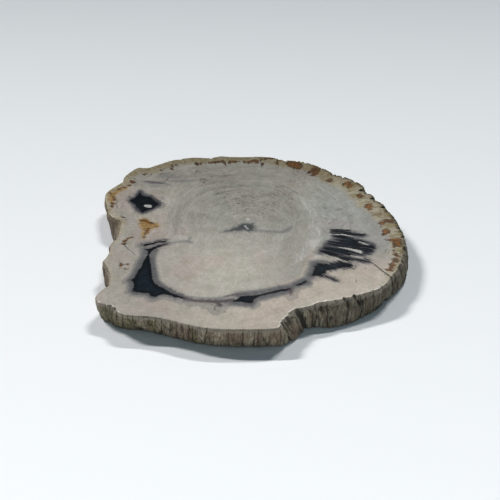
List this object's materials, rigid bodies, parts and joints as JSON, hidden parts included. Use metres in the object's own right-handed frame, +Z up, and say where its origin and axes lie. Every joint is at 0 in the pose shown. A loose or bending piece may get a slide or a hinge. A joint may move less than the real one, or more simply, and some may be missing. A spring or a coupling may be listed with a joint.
{
  "type": "petrified wood slab",
  "caption": "Cross-cut slab of petrified wood, ground flat on both faces, with a polished stained top, an irregular outline and a fluted bark rim.",
  "frame": {"origin": "centre of the slab's bounding box, on the flat underside that it rests on", "axes": "+Z up, out of the polished face; +X along the longest extent; -Y towards the front edge, where the rim has its broken step"},
  "size_m": [0.3506, 0.3294, 0.028],
  "materials": {
    "petrified_wood": "polished top face with growth rings and dark stains, rough fluted bark rim, sawn underside"
  },
  "bodies": {
    "root": {"petrified_wood_slab": "petrified_wood"}
  },
  "joints": []
}
